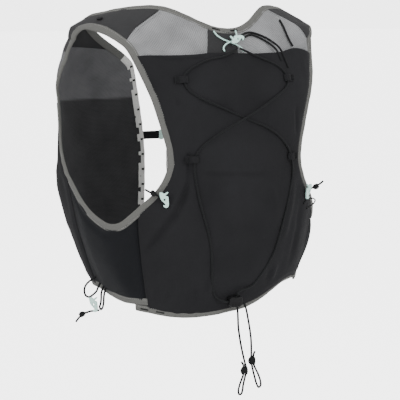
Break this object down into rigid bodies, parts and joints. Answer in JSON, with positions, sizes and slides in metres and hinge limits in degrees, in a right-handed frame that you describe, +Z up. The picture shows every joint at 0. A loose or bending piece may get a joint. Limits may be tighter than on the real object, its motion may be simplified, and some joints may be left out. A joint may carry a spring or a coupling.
{
  "type": "running hydration vest",
  "caption": "Sleeveless running vest with open front, bound armholes and hems, back stow pocket, front flask pockets, sternum strap, bungee lacing and small hooks.",
  "frame": {"origin": "middle of the vest at the height where it sits on the top of the shoulders", "axes": "+Z up, +X towards the wearer's left, -Y the way the wearer faces"},
  "size_m": [0.3244, 0.2378, 0.4539],
  "materials": {
    "mesh": "light grey open knit mesh",
    "ripstop": "black thin woven nylon",
    "inner_mesh": "dark knit mesh",
    "side_stretch": "black stretch knit",
    "binding": "grey knitted edge binding",
    "webbing": "black woven webbing",
    "cord": "dark braided elastic cord",
    "mint_plastic": "mint moulded plastic",
    "mint_cord": "mint fine cord",
    "lock_plastic": "black moulded plastic"
  },
  "bodies": {
    "root": {"back_panel": "mesh", "back_pocket": "ripstop", "neck_patch": "webbing", "shoulder_panel_left": "ripstop", "front_panel_left": "inner_mesh", "front_pocket_left": "ripstop", "side_panel_left": "side_stretch", "armhole_binding_left": "binding", "hem_binding_left": "binding", "front_strip_left": "binding", "shoulder_panel_right": "ripstop", "front_panel_right": "inner_mesh", "front_pocket_right": "ripstop", "side_panel_right": "side_stretch", "armhole_binding_right": "binding", "hem_binding_right": "binding", "front_strip_right": "binding", "neckline_binding": "binding", "hem_binding_back": "binding", "sternum_strap_left": "webbing", "sternum_buckle": "mint_plastic", "sternum_strap_right": "webbing", "lace_one": "cord", "lace_two": "cord", "cord_lock": "lock_plastic", "lace_loop_upper_left": "webbing", "lace_loop_upper_right": "webbing", "lace_loop_middle_left": "webbing", "lace_loop_middle_right": "webbing", "tail_left": "cord", "tail_left_knot": "cord", "tail_right": "cord", "tail_right_knot": "cord", "top_hook": "mint_plastic", "top_cord_long": "mint_cord", "top_cord_short": "mint_cord", "yoke_cord_upper": "cord", "yoke_cord_lower": "cord", "shoulder_cord_right": "cord", "shoulder_tab_left": "webbing", "side_hook_left": "mint_plastic", "side_hook_cord_left": "cord", "side_hook_knot_left": "cord", "side_hook_right": "mint_plastic", "side_hook_cord_right": "cord", "side_hook_knot_right": "cord", "side_loop_right": "cord", "hem_hook_left": "mint_plastic", "hem_loop_left": "cord", "hem_strands_left": "cord", "hem_tail_left": "cord", "hem_tail_knot_left": "cord"}
  },
  "joints": []
}
